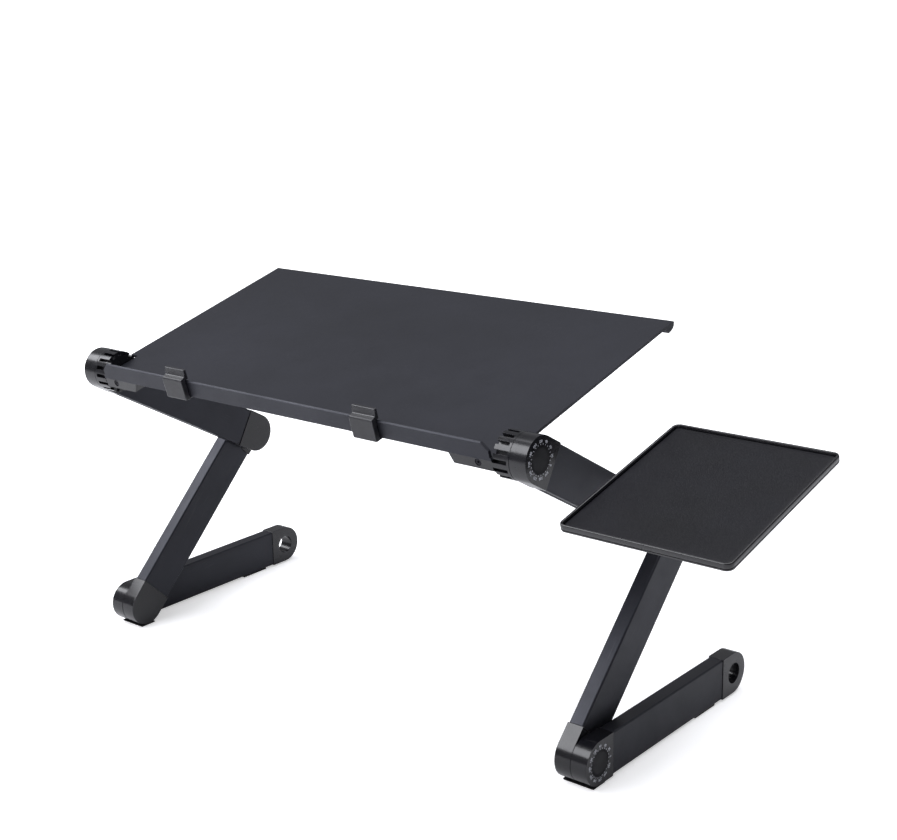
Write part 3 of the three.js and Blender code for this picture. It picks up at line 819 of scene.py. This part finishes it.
class TreadRibs(NodeShape):
    """Ribs side by side along Y, for the gripping side of a rubber pad."""

    def __init__(self, name: str, finish: Finish) -> None:
        """Builds the tree: a line of points, each with a bar across X.

        Args:
            name: Name of the tree.
            finish: Finish of the ribs.
        """
        super().__init__(name)
        count = self.size("Count", "NodeSocketInt")
        pitch = self.size("Pitch")
        width = self.size("Rib width")
        length = self.size("Rib length")
        height = self.size("Rib height")
        step = add_node(self.tree, "ShaderNodeCombineXYZ", inputs={"Y": pitch})
        line = add_node(self.tree, "GeometryNodeMeshLine", {"mode": "OFFSET"}, {
            "Count": count, "Offset": step.outputs[0]})
        bar_size = add_node(self.tree, "ShaderNodeCombineXYZ", inputs={
            "X": length, "Y": width, "Z": height})
        bar = add_node(self.tree, "GeometryNodeMeshCube", inputs={"Size": bar_size.outputs[0]})
        spread = add_node(self.tree, "GeometryNodeInstanceOnPoints", inputs={
            "Points": line.outputs[0], "Instance": bar.outputs[0]})
        self.close(spread.outputs[0], finish)


# ---------------------------------------------------------------- the top
@dataclass
class Top:
    """The aluminium top with its hub brackets, screws and stop clips."""

    plate_bevel_mm: float = 0.5
    hub_bevel_mm: float = 0.3
    screw_bevel_mm: float = 0.25
    clip_bevel_mm: float = 0.6

    def dress(self) -> None:
        """Builds every piece of the top."""
        DressedSolid("top_plate", SHEET, SHEET_EDGE_HIGHLIGHT, self.plate_bevel_mm).dress()
        for hand in Hand:
            word = hand.word
            DressedSolid(f"{word}_hub_bracket", NYLON, NYLON_EDGE_HIGHLIGHT, self.hub_bevel_mm).dress()
            DressedSolid(f"{word}_bracket_screw", DARK_SCREW, None, self.screw_bevel_mm).dress()
            DressedSolid(f"{word}_stop_clip", CLIP, NYLON_EDGE_HIGHLIGHT, self.clip_bevel_mm,
                         segments=3).dress()


# ---------------------------------------------------------------- the legs
@dataclass
class JointPart:
    """Pieces at one joint of one leg."""

    hand: Hand
    joint: LegJoint

    @property
    def stem(self) -> str:
        """Beginning of this joint's node and joint names."""
        return f"{self.hand.word}_{self.joint.word}"


@dataclass
class LegDial(JointPart):
    """Dial round a push button: printed degrees and ticks, and a ribbed grip on the button.

    Sizes in millimetres; radii from the joint's axis.
    """

    ink_lift: float = 0.03
    ticks: int = 24
    tick_radius: float = 12.3
    tick_length: float = 1.1
    tick_width: float = 0.5
    number_step: int = 30
    number_radius: float = 14.6
    number_height: float = 3.0
    number_weight: float = 0.06
    button_bevel: float = 0.3
    grip_count: int = 36
    grip_radius: float = 10.1
    grip_length: float = 1.7
    grip_width: float = 0.7
    grip_height: float = 0.5

    @property
    def leg_body(self) -> str:
        """Body of the leg piece that carries the dial."""
        return f"{self.hand.word}_{self.joint.body_word}"

    @property
    def cap_node(self) -> str:
        """Name of the cap that carries the dial."""
        return f"{self.hand.word}_{self.joint.piece_word}_dial_cap"

    def axes(self, node: str) -> Matrix:
        """Finds the dial's axes on the outer face of a node.

        Args:
            node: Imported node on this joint's axis.

        Returns:
            Matrix whose first axis runs along the leg piece and whose third points outwards.
        """
        low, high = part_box(node)
        centre = joint_place(f"{self.stem}_hinge")
        centre.x = high[0] if self.hand is Hand.RIGHT else low[0]
        return outward_axes(self.hand.value, centre, self.joint.tilt)

    def number(self, degrees: int) -> bpy.types.Mesh:
        """Makes one printed number, which stands upright when it is at the top of the dial.

        Args:
            degrees: The number, which is also its angle round the dial.

        Returns:
            Its mesh at its place on the dial.
        """
        curve = bpy.data.curves.new("degrees", "FONT")
        curve.body = str(degrees)
        curve.align_x = "CENTER"
        curve.align_y = "CENTER"
        curve.size = self.number_height * MM
        curve.extrude = self.ink_lift * MM
        curve.offset = self.number_weight * MM
        mesh = plain_mesh(add_object("degrees", curve))
        round_dial = Matrix.Rotation(math.radians(degrees), 4, "Z")
        outwards = Matrix.Translation((self.number_radius * MM, 0, 0))
        upright = Matrix.Rotation(-math.pi / 2, 4, "Z")
        mesh.transform(self.axes(self.cap_node) @ (round_dial @ outwards @ upright))
        return mesh

    def numbers(self) -> None:
        """Degrees round the dial, as thin printed relief."""
        bm = bmesh.new()
        for degrees in range(0, 360, self.number_step):
            mesh = self.number(degrees)
            bm.from_mesh(mesh)
            bpy.data.meshes.remove(mesh)
        bmesh.ops.remove_doubles(bm, verts=bm.verts, dist=INK_WELD)
        joined = finish_bmesh(bm)
        joined.materials.clear()
        thing = new_object(f"{self.stem}_dial_numbers", joined, [INK])
        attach(thing, self.leg_body)

    def dress(self) -> None:
        """Builds the dial's marks and the button with its grip."""
        self.numbers()
        ticks = TICKS.bake(f"{self.stem}_dial_ticks", {
            "Count": self.ticks, "Radius": self.tick_radius * MM,
            "Bar length": self.tick_length * MM, "Bar width": self.tick_width * MM,
            "Bar height": 2 * self.ink_lift * MM}, self.axes(self.cap_node))
        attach(ticks, self.leg_body)
        button = f"{self.stem}_push_button"
        DressedSolid(button, BUTTON, None, self.button_bevel).dress()
        grip = GRIPS.bake(f"{self.stem}_button_grip", {
            "Count": self.grip_count, "Radius": self.grip_radius * MM,
            "Bar length": self.grip_length * MM, "Bar width": self.grip_width * MM,
            "Bar height": self.grip_height * MM}, self.axes(button))
        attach(grip, body_of(button))


@dataclass
class LegLock(JointPart):
    """Hidden hardware of one joint: lock gear, pivot screw and coil spring.

    Sizes in millimetres.
    """

    gear_bevel: float = 0.15
    screw_bevel: float = 0.25
    spring_turns: float = 3.0
    wire_radius: float = 0.4
    button_travel: float = 4.5

    def dress(self) -> None:
        """Builds the gear and the screw, and winds the spring."""
        DressedSolid(f"{self.stem}_lock_gear", ZINC, None, self.gear_bevel).dress()
        DressedSolid(f"{self.stem}_pivot_screw", ZINC, None, self.screw_bevel).dress()
        node = f"{self.stem}_lock_spring"
        low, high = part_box(node)
        length = high[0] - low[0]
        radius = (high[2] - low[2]) / 2
        centre = Vector((low[0], (low[1] + high[1]) / 2, (low[2] + high[2]) / 2))
        wire = self.wire_radius * MM
        along_x = Matrix.Rotation(math.pi / 2, 4, "Y")
        place = Matrix.Translation(centre + Vector((wire, 0, 0))) @ along_x
        spring = SPRINGS.bake(f"{node}_wound", {
            "Turns": self.spring_turns, "Coil radius": radius - wire,
            "Length": length - 2 * wire, "Wire radius": wire}, place, ROUND_DEGREES)
        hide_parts(node)
        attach(spring, body_of(node))
        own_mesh(spring)


@dataclass
class Leg:
    """One folding leg: three tubes with their caps, joints and rubber pads.

    Sizes in millimetres.
    """

    hand: Hand
    cap_bevel: float = 0.45
    tube_bevel: float = 0.12
    pad_corner: float = 1.6
    pad_edge: float = 0.2
    rib_inset: float = 0.4
    rib_pitch: float = 2.4
    rib_width: float = 1.4
    rib_height: float = 0.5

    caps: tuple[str, ...] = ("upper_dial_cap", "upper_knee_cap", "middle_dial_cap",
                             "middle_ankle_cap", "foot_dial_cap", "foot_eye_cap")

    def pad(self, node: str) -> None:
        """Builds a rubber pad: a body with soft corners and ribs on its underside.

        Args:
            node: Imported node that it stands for.
        """
        low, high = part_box(node)
        bm = bmesh.new()
        outline = [(low[0], low[1]), (high[0], low[1]), (high[0], high[1]), (low[0], high[1])]
        prism(bm, outline, low[2] + self.rib_height * MM, high[2], Matrix.Identity(4))
        upright = [e for e in bm.edges if abs(e.verts[0].co.z - e.verts[1].co.z) > LEVEL]
        bmesh.ops.bevel(bm, geom=upright, offset=self.pad_corner * MM, segments=5, profile=0.5,
                        affect="EDGES")
        square = [e for e in bm.edges if e.calc_face_angle(0.0) > math.radians(ROUND_DEGREES)]
        bmesh.ops.bevel(bm, geom=square, offset=self.pad_edge * MM, segments=2, profile=0.5,
                        affect="EDGES")
        body = new_object(f"{node}_body", finish_bmesh(bm), [RUBBER])
        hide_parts(node)
        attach(body, body_of(node))
        count = int((high[1] - low[1]) / (self.rib_pitch * MM))
        start = (low[1] + high[1]) / 2 - (count - 1) * self.rib_pitch * MM / 2
        thickness = 2 * self.rib_height * MM
        place = Matrix.Translation(((low[0] + high[0]) / 2, start, low[2] + thickness / 2))
        ribs = RIBS.bake(f"{node}_tread", {
            "Count": count, "Pitch": self.rib_pitch * MM, "Rib width": self.rib_width * MM,
            "Rib length": high[0] - low[0] - 2 * self.rib_inset * MM,
            "Rib height": thickness}, place)
        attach(ribs, body_of(node))

    def dress(self) -> None:
        """Builds every piece of the leg."""
        word = self.hand.word
        for joint in LegJoint:
            DressedSolid(f"{word}_{joint.piece_word}_tube", extruded_tube(joint), None,
                         self.tube_bevel, segments=1).dress()
            LegDial(self.hand, joint).dress()
            LegLock(self.hand, joint).dress()
        for cap in self.caps:
            DressedSolid(f"{word}_{cap}", NYLON, NYLON_EDGE_HIGHLIGHT, self.cap_bevel).dress()
        self.pad(f"{word}_sole_pad")
        self.pad(f"{word}_heel_pad")


# ---------------------------------------------------------------- the mouse tray
@dataclass
class Tray:
    """Mouse tray: a shell with a stepped, rounded rim, a grained surface, and hinge lugs.

    Sizes in millimetres, in the tray's own axes with the hinge axis as origin and the rim level.
    The lugs start at their distances from the tray's left side.
    """

    SHELL_SHARP_DEGREES = 40.0

    rim_height: float = 24.0
    shell_height: float = 6.5
    hollow: float = 1.2
    web: float = 1.4
    back: float = 30.0
    tilt: float = math.radians(13.6)
    corner: float = 6.0
    least_corner: float = 1.2
    corner_steps: int = 14
    skin_drop: float = 2.0
    skin_gap: float = 0.3
    lug_starts: tuple[float, float] = (51.5, 78.5)
    lug_thickness: float = 7.0
    lug_radius: float = 8.0
    lug_foot: float = 6.0
    lug_steps: int = 20
    pin_hole: float = 4.3
    saddle_bevel: float = 0.6
    keeper_bevel: float = 0.3
    pin_bevel: float = 0.4

    def axes(self) -> Matrix:
        """Matrix from the tray's axes to the object's."""
        place = joint_place("tray_tilt_hinge")
        place.x = 0.0
        return Matrix.Translation(place) @ Matrix.Rotation(self.tilt, 4, "X")

    def ring(self, inset: float) -> list[tuple[float, float]]:
        """Makes a rounded rectangle, inset from the tray's outline.

        Args:
            inset: Distance inwards from the outline, in millimetres.

        Returns:
            Points in order round it, in metres.
        """
        low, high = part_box("tray_shell")
        x0 = low[0] + inset * MM
        x1 = high[0] - inset * MM
        y1 = (self.back - inset) * MM
        y0 = (self.back - self.depth() + inset) * MM
        radius = max(self.corner - inset, self.least_corner) * MM
        points = []
        corners = ((x1 - radius, y1 - radius, 0.0), (x0 + radius, y1 - radius, 0.5 * math.pi),
                   (x0 + radius, y0 + radius, math.pi), (x1 - radius, y0 + radius, 1.5 * math.pi))
        for cx, cy, start in corners:
            for i in range(self.corner_steps + 1):
                angle = start + 0.5 * math.pi * i / self.corner_steps
                points.append((cx + radius * math.cos(angle), cy + radius * math.sin(angle)))
        return points

    def depth(self) -> float:
        """Works out the tray's depth from its box, which it fills at its tilt.

        Returns:
            Depth in millimetres.
        """
        low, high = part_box("tray_shell")
        spread = (high[1] - low[1]) / MM
        fall = self.shell_height * math.sin(self.tilt)
        return (spread - fall) / math.cos(self.tilt)

    def loft(self, levels: Sequence[tuple[float, float]], place: Matrix) -> bmesh.types.BMesh:
        """Joins rounded rectangles into a closed shell.

        Args:
            levels: Inset and height of each ring in millimetres, from the inside bottom to the
                underside.
            place: Matrix from the tray's axes to the object's.

        Returns:
            A bmesh whose first and last rings are closed with a face.
        """
        bm = bmesh.new()
        rings = []
        for inset, height in levels:
            rings.append([bm.verts.new(place @ Vector((x, y, height * MM)))
                          for x, y in self.ring(inset)])
        for lower, upper in zip(rings, rings[1:]):
            for i in range(len(lower)):
                j = (i + 1) % len(lower)
                bm.faces.new((lower[i], lower[j], upper[j], upper[i]))
        bm.faces.new(rings[0])
        bm.faces.new(list(reversed(rings[-1])))
        return bm

    def shell(self) -> bpy.types.Mesh:
        """Makes the shell: recess, rolled rim, stepped outer wall and a hollow underside.

        Returns:
            The mesh, with its lugs.
        """
        top = self.rim_height
        low = top - self.shell_height
        recess = low + self.hollow + self.web
        levels = [
            (4.0, recess), (3.0, recess + 0.02), (2.6, recess + 0.3), (2.45, recess + 1.0),
            (2.3, top - 0.9), (2.0, top - 0.25), (1.5, top - 0.02), (1.0, top), (0.45, top - 0.2),
            (0.1, top - 0.7), (0.0, top - 1.3), (0.0, low + 2.7), (0.12, low + 2.45),
            (0.6, low + 2.35), (0.7, low + 2.1), (0.6, low + 1.85), (0.15, low + 1.7),
            (0.1, low + 1.2), (0.4, low + 0.35), (1.1, low), (1.9, low), (2.4, low + 0.25),
            (2.5, low + self.hollow), (6.0, low + self.hollow),
        ]
        bm = self.loft(levels, self.axes())
        self.add_lugs(bm, low + self.hollow + self.web / 2)
        return finish_bmesh(bm, self.SHELL_SHARP_DEGREES)

    def add_lugs(self, bm: bmesh.types.BMesh, foot: float) -> None:
        """Adds the two hinge lugs under the tray, each with its hole for the pin.

        Args:
            bm: Mesh that takes them.
            foot: Height inside the shell where the lugs start, in millimetres.
        """
        steps = self.lug_steps
        wide = self.lug_radius + self.lug_foot
        outline = [(-wide, foot), (-self.lug_radius, 0.0)]
        for i in range(1, steps):
            angle = math.pi + math.pi * i / steps
            outline.append((self.lug_radius * math.cos(angle), self.lug_radius * math.sin(angle)))
        outline += [(self.lug_radius, 0.0), (wide, foot)]
        angles = [2 * math.pi * i / (2 * steps) for i in range(2 * steps)]
        hole = [(self.pin_hole * math.cos(a), self.pin_hole * math.sin(a)) for a in angles]
        turned = self.axes() @ Matrix(((0, 0, 1, 0), (1, 0, 0, 0), (0, 1, 0, 0), (0, 0, 0, 1)))
        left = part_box("tray_shell")[0][0]
        for start in self.lug_starts:
            low = left + start * MM
            holed_plate(bm, outline, hole, low, low + self.lug_thickness * MM, turned)

    def skin(self) -> bpy.types.Mesh:
        """Makes the grained surface in the recess, with a rolled edge.

        Returns:
            The mesh.
        """
        top = self.rim_height - self.skin_drop
        base = self.rim_height - self.shell_height + self.hollow + self.web + self.skin_gap
        levels = [(8.0, top), (4.4, top), (3.6, top - 0.15), (3.25, top - 0.5),
                  (3.15, base + 0.3), (3.3, base), (8.0, base)]
        return finish_bmesh(self.loft(levels, self.axes()), ROUND_DEGREES)

    def dress(self) -> None:
        """Builds the tray and its clamp."""
        shell = new_object("tray_shell_moulding", self.shell(), [TRAY_ABS])
        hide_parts("tray_shell")
        skin = new_object("tray_mat_skin", self.skin(), [TRAY_SKIN])
        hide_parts("tray_mat")
        for thing, node in ((shell, "tray_shell"), (skin, "tray_mat")):
            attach(thing, body_of(node))
        DressedSolid("tray_clamp_saddle", NYLON, NYLON_EDGE_HIGHLIGHT, self.saddle_bevel).dress()
        DressedSolid("tray_clamp_keeper", ZINC, None, self.keeper_bevel).dress()
        DressedSolid("tray_hinge_pin", ZINC, None, self.pin_bevel).dress()
        DressedSolid("tray_thumb_screw", NYLON, None, self.pin_bevel).dress()


# ---------------------------------------------------------------- studio
@dataclass(frozen=True)
class Softbox:
    """A soft rectangular light. Lengths and places in metres, power in watts."""

    name: str
    place: tuple[float, float, float]
    size: tuple[float, float]
    power: float
    target: tuple[float, float, float] = (0.0, 0.0, 0.18)
    colour: str = "#f9faff"

    def hang(self) -> None:
        """Adds the light, aimed at its target."""
        data = bpy.data.lights.new(self.name, "AREA")
        data.shape = "RECTANGLE"
        data.size, data.size_y = self.size
        data.energy = self.power
        data.color = linear(self.colour)[:3]
        thing = add_object(self.name, data)
        thing.location = self.place
        aim = Vector(self.target) - Vector(self.place)
        thing.rotation_euler = aim.to_track_quat("-Z", "Y").to_euler()


@dataclass
class Studio:
    """Pale floor, soft lights and the camera. Lengths in metres unless a name says millimetres.

    offset is the camera's place, counted from the middle of the two top hinges. glow_reach is
    where the floor's glow starts and ends, and glow its strength there.
    """

    lens_mm: float = 63.46
    sensor_mm: float = 36.0
    sight: float = 1000.0
    azimuth: float = math.radians(39.95)
    elevation: float = math.radians(15.58)
    roll: float = math.radians(-1.34)
    offset: tuple[float, float, float] = (0.9426, -0.9200, 0.3516)
    floor_half: float = 300.0
    floor_drop: float = 0.0002
    floor_colour: str = "#f4f4f5"
    glow_reach: tuple[float, float] = (0.4, 1.6)
    glow: tuple[float, float] = (0.5, 1.0)
    dome_radius: float = 290.0
    sky_colour: str = "#f0f1f6"
    sky_strength: float = 0.32
    softboxes: tuple[Softbox, ...] = (
        Softbox("key_softbox", (-1.12, -1.22, 1.6), (2.6, 1.0), 50, (0.24, -0.12, 0.28)),
        Softbox("overhead_softbox", (0.1, 0.1, 3.0), (3.0, 3.0), 70))

    def camera(self) -> None:
        """Camera aimed along its azimuth and elevation, placed from the top's hinge line."""
        start = (joint_place("left_top_hinge") + joint_place("right_top_hinge")) / 2
        back = Vector((math.sin(self.azimuth) * math.cos(self.elevation),
                       -math.cos(self.azimuth) * math.cos(self.elevation),
                       math.sin(self.elevation)))
        right = Vector((math.cos(self.azimuth), math.sin(self.azimuth), 0))
        up = back.cross(right)
        across = math.cos(self.roll) * right + math.sin(self.roll) * up
        rise = math.cos(self.roll) * up - math.sin(self.roll) * right
        data = bpy.data.cameras.new("camera")
        data.sensor_width = self.sensor_mm
        data.lens = self.lens_mm
        data.clip_end = self.sight
        thing = add_object("camera", data)
        turn = Matrix((across, rise, back)).transposed().to_4x4()
        thing.matrix_world = Matrix.Translation(start + Vector(self.offset)) @ turn
        bpy.context.scene.camera = thing

    def stage_piece(self, name: str, bm: bmesh.types.BMesh) -> bpy.types.Object:
        """Adds a shape to the stage.

        Args:
            name: Object name.
            bm: Its shape, which is used up.

        Returns:
            The object, with a new node material.
        """
        mesh = bpy.data.meshes.new(name)
        bm.to_mesh(mesh)
        bm.free()
        material = bpy.data.materials.new(f"{name}_paint")
        material.use_nodes = True
        mesh.materials.append(material)
        thing = add_object(name, mesh)
        return thing

    def sheet(self, name: str, height: float) -> bpy.types.Object:
        """Adds a wide level sheet to the stage.

        Args:
            name: Object name.
            height: Height in metres.

        Returns:
            The object, with a new node material.
        """
        half = self.floor_half
        bm = bmesh.new()
        outline = [(-half, -half), (half, -half), (half, half), (-half, half)]
        bm.faces.new([bm.verts.new((x, y, height)) for x, y in outline])
        return self.stage_piece(name, bm)

    def camera_only(self, thing: bpy.types.Object) -> bpy.types.NodeTree:
        """Leaves a stage object visible to the camera alone.

        Args:
            thing: The object.

        Returns:
            The node tree of its material, emptied.
        """
        thing.visible_diffuse = False
        thing.visible_glossy = False
        thing.visible_transmission = False
        thing.visible_shadow = False
        tree = thing.data.materials[0].node_tree
        tree.nodes.clear()
        return tree

    def floor(self) -> None:
        """White floor, and a glow over it that only the camera sees, so that no horizon shows."""
        ground = self.sheet("floor", -self.floor_drop)
        shader = ground.data.materials[0].node_tree.nodes["Principled BSDF"]
        shader.inputs["Base Color"].default_value = linear(self.floor_colour)
        shader.inputs["Roughness"].default_value = 0.9
        shader.inputs["Specular IOR Level"].default_value = 0.1
        tree = self.camera_only(self.sheet("floor_glow", -self.floor_drop / 2))
        place = add_node(tree, "ShaderNodeTexCoord")
        away = add_node(tree, "ShaderNodeVectorMath", {"operation": "LENGTH"}, {
            0: place.outputs["Object"]})
        strength = add_node(tree, "ShaderNodeMapRange", {"interpolation_type": "SMOOTHSTEP"}, {
            "Value": away.outputs["Value"], "From Min": self.glow_reach[0],
            "From Max": self.glow_reach[1], "To Min": self.glow[0], "To Max": self.glow[1]})
        light = add_node(tree, "ShaderNodeEmission", inputs={
            "Strength": strength.outputs["Result"]})
        clear = add_node(tree, "ShaderNodeBsdfTransparent")
        both = add_node(tree, "ShaderNodeAddShader", inputs={
            0: light.outputs[0], 1: clear.outputs[0]})
        add_node(tree, "ShaderNodeOutputMaterial", inputs={"Surface": both.outputs[0]})

    def backdrop(self) -> None:
        """White dome that only the camera sees."""
        bm = bmesh.new()
        bmesh.ops.create_icosphere(bm, subdivisions=4, radius=self.dome_radius)
        tree = self.camera_only(self.stage_piece("backdrop", bm))
        light = add_node(tree, "ShaderNodeEmission", inputs={"Strength": 1.0})
        add_node(tree, "ShaderNodeOutputMaterial", inputs={"Surface": light.outputs[0]})

    def build(self) -> None:
        """Sets up the whole studio."""
        self.camera()
        self.floor()
        self.backdrop()
        for softbox in self.softboxes:
            softbox.hang()
        world = bpy.data.worlds.new("studio_world")
        bpy.context.scene.world = world
        world.use_nodes = True
        sky = world.node_tree.nodes["Background"]
        sky.inputs["Color"].default_value = linear(self.sky_colour)
        sky.inputs["Strength"].default_value = self.sky_strength
        bpy.context.scene.view_settings.view_transform = "Standard"


# ---------------------------------------------------------------- build

TICKS = RadialBars("dial_ticks", INK)
GRIPS = RadialBars("button_grip_ribs", BUTTON)
SPRINGS = CoilSpring("lock_spring_coil", ZINC)
RIBS = TreadRibs("pad_tread_ribs", RUBBER)


def main() -> None:
    """Builds the studio and every sub-assembly in order."""
    logging.basicConfig(level=logging.INFO, format="%(name)s: %(message)s")
    Studio().build()
    Top().dress()
    for hand in Hand:
        Leg(hand).dress()
    Tray().dress()


if __name__ == "__main__":
    main()
